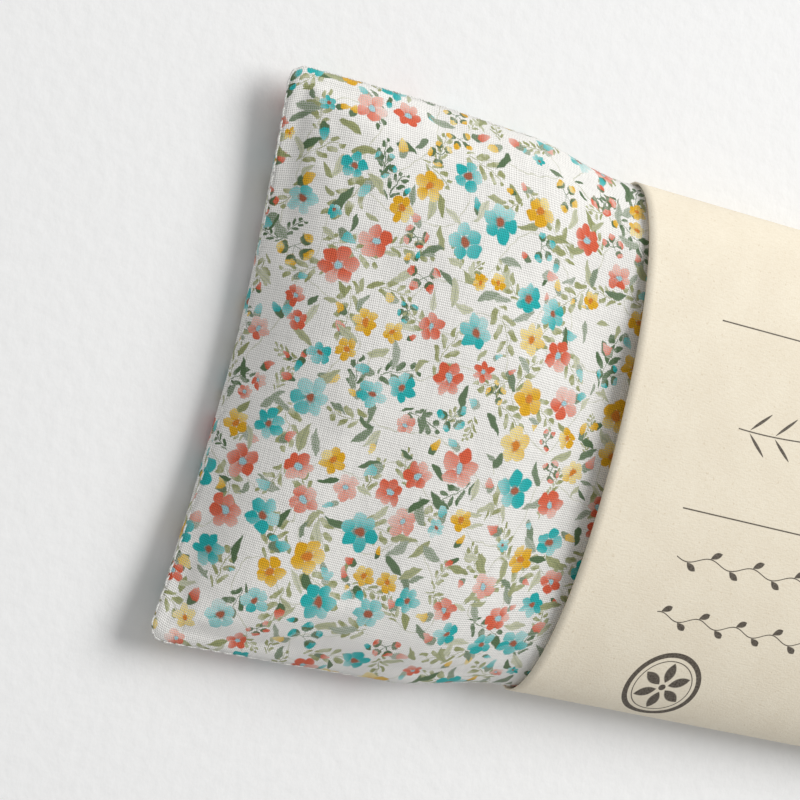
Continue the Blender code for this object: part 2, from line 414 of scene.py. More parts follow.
def tube(points, start, distance):
    """Rings of a thread along its points, its quads, and its UV pairs in metres."""
    around = THREAD_SIDES
    tangent = np.gradient(points, axis=0)
    tangent /= np.linalg.norm(tangent, axis=1)[:, None]
    side = np.cross(tangent, (0.0, 0.0, 1.0))
    side /= np.linalg.norm(side, axis=1)[:, None]
    rise = np.cross(side, tangent)
    end, power = THREAD_TAPER
    taper = np.sin(np.linspace(end, math.pi - end, len(points))) ** power
    rings = []
    pairs = []
    for k in range(around):
        angle = FULL_TURN * k / around
        offset = (side * math.cos(angle) + rise * math.sin(angle)) * THREAD_RADIUS
        rings.append(points + offset * taper[:, None])
        pairs.append(np.column_stack([distance, np.full(len(points), k * MM / around)]))
    rings = np.stack(rings, axis=1).reshape(-1, 3)
    pairs = np.stack(pairs, axis=1).reshape(-1, 2)
    faces = []
    for i in range(len(points) - 1):
        for k in range(around):
            a = start + i * around + k
            b = start + i * around + (k + 1) % around
            faces.append((a, b, b + around, a + around))
    last = start + (len(points) - 1) * around
    faces.append(tuple(start + k for k in reversed(range(around))))
    faces.append(tuple(last + k for k in range(around)))
    return rings, faces, pairs


def make_stitches(name, line, by_hand):
    """A row of stitches on the seam: the machine's straight ones, or the slanting hand ones."""
    line, distance = resample(line, STITCH / STITCH_STEPS)
    centre = np.array([0.0, 0.0, SEAM_Z])
    points = []
    faces = []
    pairs = []
    total = 0
    pitch = STITCH_STEPS + (HAND_GAP_STEPS if by_hand else 0)
    for first in range(0, len(line) - STITCH_STEPS, pitch):
        piece = line[first:first + STITCH_STEPS].copy()
        if in_closing(piece[STITCH_STEPS // 2]) != by_hand:
            continue
        inward = centre - piece
        inward /= np.linalg.norm(inward, axis=1)[:, None]
        bow = np.sin(np.linspace(0.0, math.pi, len(piece)))
        piece += inward * (STITCH_INSET - STITCH_BOW * bow)[:, None]
        if by_hand:
            piece[:, 2] += np.linspace(-HAND_SLANT, HAND_SLANT, len(piece))
        ring, quads, uv = tube(piece, total, distance[first:first + STITCH_STEPS])
        points.append(ring)
        faces += quads
        pairs.append(uv)
        total += len(ring)
    return add_mesh(name, np.concatenate(points), faces, [("thread", np.concatenate(pairs))])


# ---------------- belly band

def band_centreline():
    """The paper's middle in Y and Z, from its outer end round to its inner end, finely stepped."""
    half = BAND_HALF_WIDTH - PAPER / 2.0
    low = PAPER / 2.0 + REST_GAP
    side = SEAM_Z
    flat = BAND_FLAT_HALF
    crest = BAND_HIGH.z - PAPER / 2.0 - side
    inner = TAPE_HIGH.z + INNER_LIFT
    steps = BAND_SECTION_STEPS
    outer_y = np.linspace(-OVERLAP_HALF, flat, steps["outer"])
    outer_end = np.stack([outer_y, np.full(len(outer_y), low)], axis=-1)
    turn = np.linspace(0.0, math.pi / 2.0, steps["turn"])
    right = np.stack([flat + (half - flat) * np.sin(turn),
                      side - (side - low) * np.cos(turn)], axis=-1)
    sweep = np.cos(np.linspace(0.0, math.pi, steps["top"]))
    top = np.stack([half * sweep, side + crest * bulge(sweep, BAND_ACROSS)], axis=-1)
    left = np.stack([-right[::-1, 0], right[::-1, 1]], axis=-1)
    inner_y = np.linspace(-flat, OVERLAP_HALF, steps["inner"])
    climb = smoothstep(*OVERLAP_CLIMB, inner_y)
    inner_end = np.stack([inner_y, low + (inner - low) * climb], axis=-1)
    return np.concatenate([outer_end[:-1], right[:-1], top[:-1], left[:-1], inner_end])


def resample(line, spacing):
    """Points at even steps along a line, and their distance from its start."""
    steps = np.linalg.norm(np.diff(line, axis=0), axis=1)
    length = np.concatenate([[0.0], np.cumsum(steps)])
    count = max(2, int(round(length[-1] / spacing)) + 1)
    at = np.linspace(0.0, length[-1], count)
    return np.stack([np.interp(at, length, line[:, k]) for k in range(line.shape[1])], -1), at


def make_band():
    """The paper, with its cut edges standing a little off the pillow's top."""
    line, distance = resample(band_centreline(), BAND_SPACING)
    crest = int(np.argmax(line[:, 1]))
    stations = np.linspace(-BAND_HALF, BAND_HALF, BAND_STATIONS)
    tangent = np.gradient(line, axis=0)
    tangent /= np.linalg.norm(tangent, axis=1)[:, None]
    outward = np.stack([tangent[:, 1], -tangent[:, 0]], axis=-1)
    upper = smoothstep(SEAM_Z * 0.6, SEAM_Z * 2.0, line[:, 1])
    points = []
    pairs = []
    for x in stations:
        edge = (abs(x) / BAND_HALF) ** BAND_EDGE_POWER
        lift = (BAND_EDGE_LIFT * edge - BAND_SINK) * MM * upper
        ring = line + outward * lift[:, None]
        points.append(np.column_stack([np.full(len(line), x), ring]))
        pairs.append(np.column_stack([np.full(len(line), x), distance[crest] - distance]))
    faces = grid_quads(len(line), len(stations), turned=True)
    band = add_mesh("belly_band", np.concatenate(points), faces,
                    [("paper", np.concatenate(pairs))])
    thickness = band.modifiers.new("paper thickness", "SOLIDIFY")
    thickness.thickness = PAPER
    thickness.offset = 0.0
    return band


# ---------------- node helpers

def math_method(operation):
    """A method that puts its field, with another value if there is one, through a math node."""
    return lambda field, other=None: field.graph.math(operation, field, other)


class Field:
    """A number that varies over a surface: an output socket with arithmetic."""

    def __init__(self, graph, socket):
        self.graph = graph
        self.socket = socket

    __add__ = __radd__ = math_method("ADD")
    __mul__ = __rmul__ = math_method("MULTIPLY")
    __sub__ = math_method("SUBTRACT")
    __truediv__ = math_method("DIVIDE")
    above = math_method("GREATER_THAN")
    below = math_method("LESS_THAN")
    at_least = math_method("MAXIMUM")
    at_most = math_method("MINIMUM")
    power = math_method("POWER")
    size = math_method("ABSOLUTE")
    sine = math_method("SINE")
    cosine = math_method("COSINE")
    floor = math_method("FLOOR")
    fraction = math_method("FRACT")
    fraction_of = math_method("MODULO")  # what is left over after whole periods

    def __rsub__(self, other):
        return self.graph.math("SUBTRACT", other, self)

    def __rtruediv__(self, other):
        return self.graph.math("DIVIDE", other, self)

    def ramp(self, start, end):
        """0 up to start, 1 from end on, and smooth between."""
        node = self.graph.add("ShaderNodeMapRange", interpolation_type="SMOOTHSTEP")
        self.graph.plug(node.inputs["Value"], self)
        self.graph.plug(node.inputs["From Min"], start)
        self.graph.plug(node.inputs["From Max"], end)
        return Field(self.graph, node.outputs["Result"])


class Graph:
    """A material's node tree, with short ways to add to it."""

    def __init__(self, name):
        self.material = bpy.data.materials.new(name)
        self.material.use_nodes = True
        self.tree = self.material.node_tree
        self.shader = self.tree.nodes["Principled BSDF"]

    def add(self, kind, **settings):
        node = self.tree.nodes.new(kind)
        for key, value in settings.items():
            setattr(node, key, value)
        return node

    def plug(self, socket, value):
        if isinstance(value, Field):
            value = value.socket
        if isinstance(value, bpy.types.NodeSocket):
            self.tree.links.new(value, socket)
        elif value is not None:
            socket.default_value = value

    def math(self, operation, a, b=None):
        node = self.add("ShaderNodeMath", operation=operation)
        self.plug(node.inputs[0], a)
        self.plug(node.inputs[1], b)
        return Field(self, node.outputs[0])

    def uv(self, layer):
        """The two coordinates of a UV layer, in millimetres."""
        node = self.add("ShaderNodeUVMap", uv_map=layer)
        u, v, _ = self.split(node.outputs["UV"])
        return u * PER_METRE, v * PER_METRE

    def point(self, x, y, z=0.0):
        node = self.add("ShaderNodeCombineXYZ")
        for socket, value in zip(node.inputs, (x, y, z)):
            self.plug(socket, value)
        return node.outputs[0]

    def place(self):
        """The three coordinates of the object itself, in millimetres."""
        node = self.add("ShaderNodeTexCoord")
        return [part * PER_METRE for part in self.split(node.outputs["Object"])]

    def split(self, vector):
        node = self.add("ShaderNodeSeparateXYZ")
        self.plug(node.inputs[0], vector)
        return [Field(self, output) for output in node.outputs]

    def noise_node(self, x, y, scale, detail):
        place = self.point(x, y)
        node = self.add("ShaderNodeTexNoise", noise_dimensions="2D")
        self.plug(node.inputs["Vector"], place)
        self.plug(node.inputs["Scale"], scale)
        self.plug(node.inputs["Detail"], detail)
        return node

    def noise(self, x, y, scale, detail=2.0):
        return Field(self, self.noise_node(x, y, scale, detail).outputs[0])

    def noise_pair(self, x, y, scale):
        """Two independent noise values about 0."""
        parts = self.split(self.noise_node(x, y, scale, 1.0).outputs[1])
        return parts[0] - 0.5, parts[1] - 0.5

    def random(self, x, y):
        """Three random numbers from 0 to 1 that depend only on the point given."""
        node = self.add("ShaderNodeTexWhiteNoise", noise_dimensions="2D")
        self.plug(node.inputs["Vector"], self.point(x, y))
        return self.split(node.outputs["Color"])

    def length(self, x, y):
        return self.math("SQRT", x * x + y * y)

    def cells(self, x, y, spacing, randomness, feature="F1"):
        """Scattered points about a spacing apart; returns the Voronoi node."""
        node = self.add("ShaderNodeTexVoronoi", voronoi_dimensions="2D", feature=feature)
        self.plug(node.inputs["Vector"], self.point(x, y))
        self.plug(node.inputs["Scale"], 1.0 / spacing)
        self.plug(node.inputs["Randomness"], randomness)
        return node

    def mix(self, factor, a, b):
        """Colour a where factor is 0 and colour b where it is 1."""
        node = self.add("ShaderNodeMix", data_type="RGBA")
        self.plug(node.inputs[0], factor)
        self.plug(node.inputs[6], (*a, 1.0) if isinstance(a, tuple) else a)
        self.plug(node.inputs[7], (*b, 1.0) if isinstance(b, tuple) else b)
        return node.outputs[2]

    def shade(self, colour, amount):
        """A colour made lighter or darker by a factor."""
        node = self.add("ShaderNodeVectorMath", operation="SCALE")
        self.plug(node.inputs[0], colour)
        self.plug(node.inputs["Scale"], amount)
        return node.outputs[0]

    def bump(self, height, distance, strength, normal=None):
        node = self.add("ShaderNodeBump")
        self.plug(node.inputs["Height"], height)
        self.plug(node.inputs["Distance"], distance)
        self.plug(node.inputs["Strength"], strength)
        self.plug(node.inputs["Normal"], normal)
        return node.outputs[0]

    def finish(self, colour, roughness, normal=None, **constants):
        self.plug(self.shader.inputs["Base Color"], colour)
        self.plug(self.shader.inputs["Roughness"], roughness)
        self.plug(self.shader.inputs["Normal"], normal)
        for name, value in constants.items():
            self.shader.inputs[name.replace("_", " ")].default_value = value
        return self.material


# ---------------- printed cotton

GROUND = (0.93, 0.92, 0.89)
FLOWER_CELL = 8.3  # millimetres between the middles of the flowers, about
FLOWER_LARGEST = 4.1  # radius
TWIG_CELL = 9.6
TWIG_LARGEST = 4.7  # radius
LEAF_CELLS = (5.9, 6.6, 7.4)
LEAF_LONGEST = 2.9  # half length
SCATTER = 0.74  # how unevenly the flowers lie
STEM = 0.13  # half the width of a printed stem
FLOWER_GAP = 0.1  # kept clear round a flower
LEAF_GAP = 0.05  # and round a leaf or a twig
PRINT_TURN = math.radians(27.0)
PRINT_SHIFT = 300.0  # keeps the pattern's own coordinates above 0
TWIG_SHIFT = 900.0  # sets the twigs apart from the flowers
LEAF_SHIFT = 500.0  # and each layer of leaves from the next
WINDING_SIZE = 15.0
FLOWER_SHARE = 0.78  # of the flowers' places; the others hold berries
SIX_PETALS = 0.70  # spins above this give six petals, the others five
PETAL_MIDDLE = (0.50, 0.12)  # out from the heart in radii: the least, and what is drawn
PETAL_HALF_LENGTH = 0.40
PETAL_HALF_WIDTH = (0.40, 0.05)  # of one of five, and how much less with six
BUD_SHARE = 0.68  # draws above this make a leaf a bud
OLIVE_SHARE = 0.45  # draws above this make a leaf olive
LEAF_HALF_WIDTH = (0.33, 0.20)  # in half lengths, and what a bud has more
LEAF_BEND = 0.14
TWIG_STEP = 0.62  # from leaf to leaf along a twig, in radii
TWIG_END = 0.92
FORKS = 5.0  # of a bunch of berries; the last one is left out
BERRY_OUT = 0.64  # from the middle of the bunch, in radii
BERRY_END = 0.098  # a berry's radius squared
INK_EDGE = (0.0, 0.03)  # over which a printed shape begins
PETAL_EDGE = (-0.04, 0.34)
HEART_EDGE = (0.30, 0.22)
HEART_RING = (0.32, 0.23)
HEART_INK = (0.24, 0.16)
FADE_BY_PETAL = 0.55
FADE_ACROSS = 0.45
FADE_BY_FLOWER = 0.5
FADE_OUTWARD = 0.2
FADE_LESS = 0.12
PETAL_VEIN = (9.0, 0.35)  # sharpness and strength
LEAF_RIB = (14.0, 0.3)
LEAF_SECTION = (0.8, 0.28)  # power, and how much slimmer it gets to its tip
BUD_SECTION = (0.5, 0.22)
BUD_SMALLER = 0.28  # than a leaf
BUD_CUP = (0.30, 0.48)
LEAF_EDGE = (-0.03, 0.26)
LEAF_SPREAD = 2.6  # of the leaves' headings about straight away from the flower
TWIG_BEND = 0.10
TWIG_LEAN = 0.85
TWIG_LEAF = (0.34, 0.31)  # middle and half length, out from the stem
TWIG_LEAF_HALF = 0.40  # width, in steps
TWIG_TIP = 1.9  # steps from the middle to the last leaf
LEAST_BERRY = 2.2
LEAST_TWIG = 1.8
LEAST_LEAF = 1.1
WOBBLE = (0.35, 1.3)  # of the drawn outlines: scale and amount
TREMBLE = (1.8, 0.25)
CORAL = ((0.76, 0.13, 0.06), (0.86, 0.43, 0.34))
TEAL = ((0.018, 0.46, 0.46), (0.29, 0.69, 0.69))
MUSTARD = ((0.80, 0.43, 0.015), (0.90, 0.70, 0.17))
DARK_LEAF = ((0.105, 0.18, 0.085), (0.20, 0.28, 0.16))
OLIVE_LEAF = ((0.35, 0.375, 0.17), (0.58, 0.60, 0.38))
BLOOM_SHARES = (0.36, 0.72)  # coral up to the first, teal up to the second, then mustard
PALE_BLUE = (0.40, 0.66, 0.72)
BROWN_RED = (0.42, 0.13, 0.07)
ORANGE = (0.72, 0.24, 0.03)
WARP_PITCH = 0.38  # between threads counted along the pillow
WEFT_PITCH = 0.44  # and counted across it
THREAD_DRIFT = (0.12, 0.35)  # of the threads from straight: scale and amount
CROSSING = 2.5  # how suddenly a thread goes over or under
THREAD_LEVEL = 0.68  # of a thread halfway between over and under
THREAD_SWING = 0.32
WEAVE_PAINTED_SHADE = (0.62, 0.43)  # painted shade: the colour's level between the threads, and how much lighter their tops are painted
SLUB_SHADE = 0.12


def turned(x, y, angle):
    """Coordinates in a frame turned by angle."""
    cosine = angle.cosine()
    sine = angle.sine()
    return x * cosine + y * sine, y * cosine - x * sine


def sector(g, x, y, count, spin=0.0):
    """Which of count equal sectors a point is in, and its angle from the sector's middle."""
    turns = (g.math("ARCTAN2", y, x) / FULL_TURN + spin) * count
    return turns.floor(), (turns.fraction() - 0.5) * FULL_TURN / count


def three_inks(g, choice, inks):
    """One of three colours, in the shares the blossoms have."""
    lower = g.mix(choice.above(BLOOM_SHARES[0]), inks[0], inks[1])
    return g.mix(choice.above(BLOOM_SHARES[1]), lower, inks[2])


def blossom_inks(g, choice):
    """The deep and the light ink of one blossom."""
    return tuple(three_inks(g, choice, (CORAL[k], TEAL[k], MUSTARD[k])) for k in (0, 1))


def washed(g, inks, fade, threads):
    """An ink that fades out: from deep to light, then only on the tops of the threads."""
    colour = g.mix(fade.ramp(0.0, 0.9), *inks)
    bare = (fade * 1.1 - threads).ramp(0.05, 0.65)
    return g.mix(bare * 0.75, colour, GROUND)


def flower(g, x, y, radius, draw, threads):
    """One flower about the origin: its coverage and its colour. draw holds random numbers."""
    kind, spin, wash = draw
    petals = 5.0 + spin.above(SIX_PETALS)
    petal_number, angle = sector(g, x, y, petals, spin)
    heart = g.length(x, y) / radius
    own = g.random(petal_number + spin * 40.0, kind * 50.0)
    along = heart * angle.cosine()
    beside = heart * angle.sine()
    middle = PETAL_MIDDLE[0] + PETAL_MIDDLE[1] * own[0]
    half = PETAL_HALF_WIDTH[0] - PETAL_HALF_WIDTH[1] * (petals - 5.0)
    forward = (along - middle) / PETAL_HALF_LENGTH
    sideways = beside / half
    inside = 1.0 - forward * forward - sideways * sideways
    cover = inside.ramp(*PETAL_EDGE).at_least(heart.ramp(*HEART_EDGE))
    inks = blossom_inks(g, kind)
    middle_colour = three_inks(g, kind, (PALE_BLUE, BROWN_RED, ORANGE))
    sunny, _ = turned(x, y, spin * 31.0)
    fade = own[1] * FADE_BY_PETAL + sunny / radius * FADE_ACROSS
    fade = fade + wash.ramp(0.60, 1.0) * FADE_BY_FLOWER + heart * FADE_OUTWARD - FADE_LESS
    colour = washed(g, inks, fade, threads)
    vein = (1.0 - (beside * PETAL_VEIN[0]).size()).at_least(0.0) * heart.ramp(0.75, 0.2)
    colour = g.mix(vein * PETAL_VEIN[1], colour, inks[0])
    ring = heart.ramp(*HEART_RING)
    colour = g.mix(ring * 0.4, colour, BROWN_RED)
    colour = g.mix(heart.ramp(*HEART_INK), colour, middle_colour)
    return cover, colour


def leaf(g, x, y, half_length, draw, threads):
    """A leaf along x, or a round bud in its green cup: coverage and colour."""
    kind, tone, wash = draw
    is_bud = kind.above(BUD_SHARE)
    half_length = half_length * (1.0 - is_bud * BUD_SMALLER)
    along = x / half_length
    arch = (1.0 - along * along).at_least(0.0)
    pointed = arch.power(LEAF_SECTION[0]) * (1.0 - along * LEAF_SECTION[1])
    rounded = arch.power(BUD_SECTION[0]) * (1.0 - along * BUD_SECTION[1])
    profile = pointed + (rounded - pointed) * is_bud
    bend = y - half_length * LEAF_BEND * (1.0 - along * along) * (1.0 - is_bud)
    width = half_length * (LEAF_HALF_WIDTH[0] + LEAF_HALF_WIDTH[1] * is_bud)
    inside = profile - (bend / width).size()
    cover = inside.ramp(*LEAF_EDGE) * along.size().below(1.0)
    dark = washed(g, DARK_LEAF, wash, threads)
    olive = washed(g, OLIVE_LEAF, wash, threads)
    green = g.mix(tone.above(OLIVE_SHARE), dark, olive)
    rib = (1.0 - (bend / half_length * LEAF_RIB[0]).size()).at_least(0.0)
    green = g.mix(rib * LEAF_RIB[1], green, DARK_LEAF[0])
    inks = blossom_inks(g, tone)
    petals = washed(g, inks, wash * 0.5 + along * 0.35 + 0.1, threads)
    cup = (bend / half_length).size() * 0.5 - along
    bud = g.mix(cup.ramp(*BUD_CUP), petals, dark)
    return cover, g.mix(is_bud, green, bud)


def sprig(g, x, y, radius):
    """A stem along x with leaves by turns on its two sides: coverage."""
    along = x / radius
    beside = y / radius - TWIG_BEND * (1.0 - along * along)
    stem = (STEM / radius - beside.size()).ramp(*INK_EDGE) * along.size().below(TWIG_END)
    tilt = (along - beside.size() * TWIG_LEAN) / TWIG_STEP + beside.above(0.0) * 0.5
    local = (tilt.fraction() - 0.5) / TWIG_LEAF_HALF
    taper = 1.0 - along * along * 0.5
    reach = (beside.size() / taper - TWIG_LEAF[0]) / TWIG_LEAF[1]
    inside = 1.0 - reach * reach - local.size()
    leaves = inside.ramp(0.0, 0.30) * tilt.size().below(TWIG_TIP)
    return stem.at_least(leaves)


def berries(g, x, y, radius, spin):
    """Round berries on forked stems: coverage of the fruit, of the stems, and of the cups."""
    number, angle = sector(g, x, y, FORKS, spin)
    fork = (number + 2.0 * FORKS).fraction_of(FORKS).below(FORKS - 1.0)
    reach = g.length(x, y) / radius
    along = reach * angle.cosine() - BERRY_OUT
    beside = reach * angle.sine()
    fruit = (BERRY_END - along * along - beside * beside).ramp(*INK_EDGE) * fork
    stems = (STEM / radius - beside.size()).ramp(*INK_EDGE) * reach.below(0.45) * fork
    cups = (beside.size() * 0.5 - along).ramp(0.06, 0.14) * fruit
    return fruit, stems, cups


def stems_layer(g, x, y, size):
    """Long winding stems, about a size apart: coverage."""
    step = 0.2
    here = g.noise(x, y, 1.0 / size, 0.0)
    right = g.noise(x + step, y, 1.0 / size, 0.0)
    above = g.noise(x, y + step, 1.0 / size, 0.0)
    slope = g.length(right - here, above - here) / step
    away = (here - 0.5).size() / slope.at_least(0.01)
    return (STEM - away).ramp(-0.04, 0.06)


def floral_print(g, u, v, threads):
    """The printed colours of the cotton at u, v in millimetres."""
    wobble_u, wobble_v = g.noise_pair(u, v, WOBBLE[0])
    tremble_u, tremble_v = g.noise_pair(u, v, TREMBLE[0])
    x = u + wobble_u * WOBBLE[1] + tremble_u * TREMBLE[1]
    y = v + wobble_v * WOBBLE[1] + tremble_v * TREMBLE[1]
    cosine = math.cos(PRINT_TURN)
    sine = math.sin(PRINT_TURN)
    px = x * cosine + y * sine + PRINT_SHIFT
    py = y * cosine - x * sine + PRINT_SHIFT

    stain = g.noise(u, v, 0.5, 2.0)
    olive = washed(g, OLIVE_LEAF, stain * 1.6 - 0.5, threads)
    dark = washed(g, DARK_LEAF, stain * 1.4 - 0.4, threads)
    winding = stems_layer(g, px, py, WINDING_SIZE)
    colour = g.mix(winding * 0.4, GROUND, olive)
    colour = twig_layer(g, px, py, colour, olive, dark)
    for number, spacing in enumerate(LEAF_CELLS):
        colour = leaf_layer(g, px, py, spacing, number * LEAF_SHIFT, colour, threads)

    own_x, own_y, free = nearest(g, px, py, FLOWER_CELL, SCATTER)
    radius = (free - FLOWER_GAP).at_most(FLOWER_LARGEST).at_least(0.5)
    draw = g.random(own_x, own_y)
    more = g.random(own_y + 7.0, own_x)
    lx = px - own_x
    ly = py - own_y
    is_flower = more[0].below(FLOWER_SHARE)
    is_berry = more[0].above(FLOWER_SHARE) * radius.above(LEAST_BERRY)
    cover, bloom = flower(g, lx, ly, radius, draw, threads)
    colour = g.mix(cover * is_flower, colour, bloom)
    fruit, stems, cups = berries(g, lx, ly, radius, draw[1])
    skin = washed(g, blossom_inks(g, draw[2]), stain * 1.8 - 0.5, threads)
    colour = g.mix(stems * is_berry, colour, dark)
    colour = g.mix(fruit * is_berry, colour, skin)
    return g.mix(cups * is_berry, colour, dark)


def nearest(g, x, y, spacing, randomness):
    """The nearest of some scattered points, and how far from it is its own, in millimetres."""
    position = g.cells(x, y, spacing, randomness).outputs["Position"]
    free = g.cells(x, y, spacing, randomness, "N_SPHERE_RADIUS").outputs["Radius"]
    own_x, own_y, _ = g.split(position)
    return own_x, own_y, Field(g, free) * spacing


def twig_layer(g, px, py, under, olive, dark):
    """Leafy twigs that lie behind the flowers."""
    own_x, own_y, free = nearest(g, px + TWIG_SHIFT, py, TWIG_CELL, SCATTER)
    radius = (free - LEAF_GAP).at_most(TWIG_LARGEST).at_least(0.5)
    draw = g.random(own_x, own_y)
    x, y = turned(px + TWIG_SHIFT - own_x, py - own_y, draw[1] * FULL_TURN)
    cover = sprig(g, x, y, radius) * radius.above(LEAST_TWIG)
    return g.mix(cover, under, g.mix(draw[0].above(0.80), olive, dark))


def leaf_layer(g, px, py, spacing, shift, under, threads):
    """Leaves and buds in the gaps between the flowers, each one whole or left out."""
    bx, by, free = nearest(g, px + shift, py, spacing, SCATTER)
    half_length = (free - LEAF_GAP).at_most(LEAF_LONGEST).at_least(0.2)
    ax, ay, room = nearest(g, bx - shift, by, FLOWER_CELL, SCATTER)
    away = g.length(bx - shift - ax, by - ay)
    flower_radius = (room - FLOWER_GAP).at_most(FLOWER_LARGEST)
    clear = (away - flower_radius - half_length * 0.15).above(0.0) * half_length.above(LEAST_LEAF)
    draw = g.random(bx, by)
    more = g.random(by + 3.0, bx)
    heading = g.math("ARCTAN2", by - ay, bx - shift - ax) + (more[1] - 0.5) * LEAF_SPREAD
    lx, ly = turned(px + shift - bx, py - by, heading)
    cover, colour = leaf(g, lx, ly, half_length, draw, threads)
    return g.mix(cover * clear, under, colour)


def weave(g, u, v):
    """Plain weave: the height of the threads from 0 to 1."""
    drift_u, drift_v = g.noise_pair(u, v, THREAD_DRIFT[0])
    su = (u + drift_u * THREAD_DRIFT[1]) * (math.pi / WARP_PITCH)
    sv = (v + drift_v * THREAD_DRIFT[1]) * (math.pi / WEFT_PITCH)
    warp = su.sine()
    weft = sv.sine()
    over = (warp * weft * CROSSING).at_most(1.0).at_least(-1.0)
    warp_height = warp.size() * (THREAD_LEVEL + over * THREAD_SWING)
    weft_height = weft.size() * (THREAD_LEVEL - over * THREAD_SWING)
    return warp_height.at_least(weft_height)


def cotton_material(name, shift):
    """Printed plain-weave cotton; shift moves the print so that two panels differ."""
    g = Graph(name)
    u, v = g.uv("cloth")
    threads = weave(g, u, v)
    colour = floral_print(g, u + shift, v + shift * 0.37, threads.ramp(0.30, 0.95))
    slub_warp = g.noise(u * 2.6, v * 0.09, 1.0, 1.0)
    slub_weft = g.noise(u * 0.09, v * 2.3, 1.0, 1.0)
    # painted shade: the colour is darker between the threads and lighter on their tops; the slubs
    # vary the threads' own tone
    level = WEAVE_PAINTED_SHADE[0] + threads.ramp(0.20, 0.80) * WEAVE_PAINTED_SHADE[1]
    level = level * (0.90 + (slub_warp + slub_weft) * SLUB_SHADE)
    colour = g.shade(colour, level)
    crumple = g.noise(u, v, 0.13, 3.0)
    normal = g.bump(crumple, 0.7 * MM, 0.6)
    normal = g.bump(threads + (slub_warp + slub_weft) * 0.4, 0.10 * MM, 0.9, normal)
    roughness = 0.94 - threads * 0.12
    return g.finish(colour, roughness, normal, Sheen_Weight=0.12, Sheen_Roughness=0.4,
                    Specular_IOR_Level=0.25)


# ---------------- paper

CREAM = (0.83, 0.755, 0.615)
CREAM_LIGHT = (0.86, 0.79, 0.65)
CREAM_FIBRE = (0.70, 0.60, 0.44)
INK = (0.055, 0.042, 0.032)
RULES = (28.6, -7.8)  # across the band, in millimetres from its middle line
RULE_HALF = 26.9  # half the length of a rule
RULE_WIDTH = 0.28
VINES = (-17.0, -29.0)
VINE_HALF = 25.0
LAVENDER_AT = 10.0
LAVENDER_HALF = 19.0
RING_AT = (-16.0, -44.0)
RING_RADIUS = 7.6
RING_PETALS = 6.0
RING_GAP = 1.4
FINE_LINE = 0.22
VINE_STEPS = (5.0, 4.4)  # from leaf to leaf
VINE_WAVE = 0.7
VINE_LEAF = (1.7, 0.62)  # half length and half width
VINE_LEAN = (0.75, 0.66)  # cosine and sine of a leaf's angle, nearly
BUD_STEP = 2.3
LAVENDER_LEAF_STEP = 6.0
FLECK = (0.55, 0.43, 0.28)


def stroke(distance, width):
    """A printed line from the distance to its middle: coverage."""
    return (width / 2.0 - distance.size()).ramp(-0.05, 0.05)


def petal(x, y, half_length, half_width):
    """A pointed oval along x about the origin: coverage."""
    along = x / half_length
    inside = 1.0 - along * along - (y / half_width).size()
    return inside.ramp(0.0, 0.25)


def in_step(x, step):
    """How far x is from the middle of the step that it lies in."""
    return (x / step).fraction() * step - step / 2.0


def printed_vine(x, y, step):
    """A wavy stem along x with a leaf on each side by turns."""
    stem_y = y - (x * (math.pi / step)).sine() * VINE_WAVE
    ends = x.size().below(VINE_HALF)
    number = (x / step).floor()
    side = 1.0 - 2.0 * number.size().fraction_of(2.0)
    local = in_step(x, step)
    cosine, sine = VINE_LEAN
    lx = local * cosine + stem_y * side * sine
    ly = stem_y * side * cosine - local * sine
    leaf_cover = petal(lx - VINE_LEAF[0], ly, *VINE_LEAF)
    return stroke(stem_y, FINE_LINE).at_least(leaf_cover) * ends


def printed_lavender(x, y):
    """A stem of lavender along x: slim leaves, then whorls of buds that get smaller."""
    stem_y = y - (x * 0.11).sine() * 0.8
    stem = stroke(stem_y, 0.26) * x.size().below(LAVENDER_HALF)
    grow = 1.15 - x / (LAVENDER_HALF * 1.5)
    lean = in_step(x, BUD_STEP) - stem_y.size() * 0.55
    buds = petal(stem_y.size() - 1.35 * grow, lean + 0.3, 1.15 * grow, 0.78)
    buds = buds * x.above(1.0) * x.below(LAVENDER_HALF + 0.5)
    slant = in_step(x, LAVENDER_LEAF_STEP) - stem_y.size() * 1.1 + 1.6
    leaves = petal(stem_y.size() - 2.3, slant, 2.2, 0.55)
    leaves = leaves * x.below(-0.5) * x.above(1.0 - LAVENDER_HALF)
    return stem.at_least(buds).at_least(leaves)


def printed_ring(g, x, y):
    """Two plain circles round a six-petalled flower."""
    reach = g.length(x, y)
    circles = stroke(reach - RING_RADIUS, 1.1)
    circles = circles.at_least(stroke(reach - RING_RADIUS + RING_GAP, FINE_LINE))
    _, angle = sector(g, x, y, RING_PETALS)
    bloom = petal(reach * angle.cosine() - 3.5, reach * angle.sine(), 2.5, 1.25)
    heart = stroke(reach, 1.5)
    return circles.at_least(bloom).at_least(heart)


def band_ink(g, u, v):
    """All that is printed on the band: coverage."""
    rule_ends = u.size().below(RULE_HALF)
    ink = stroke(v - RULES[0], RULE_WIDTH) * rule_ends
    ink = ink.at_least(stroke(v - RULES[1], RULE_WIDTH) * rule_ends)
    for at, step in zip(VINES, VINE_STEPS):
        ink = ink.at_least(printed_vine(u, v - at, step))
    ink = ink.at_least(printed_lavender(u, v - LAVENDER_AT))
    return ink.at_least(printed_ring(g, u - RING_AT[0], v - RING_AT[1]))


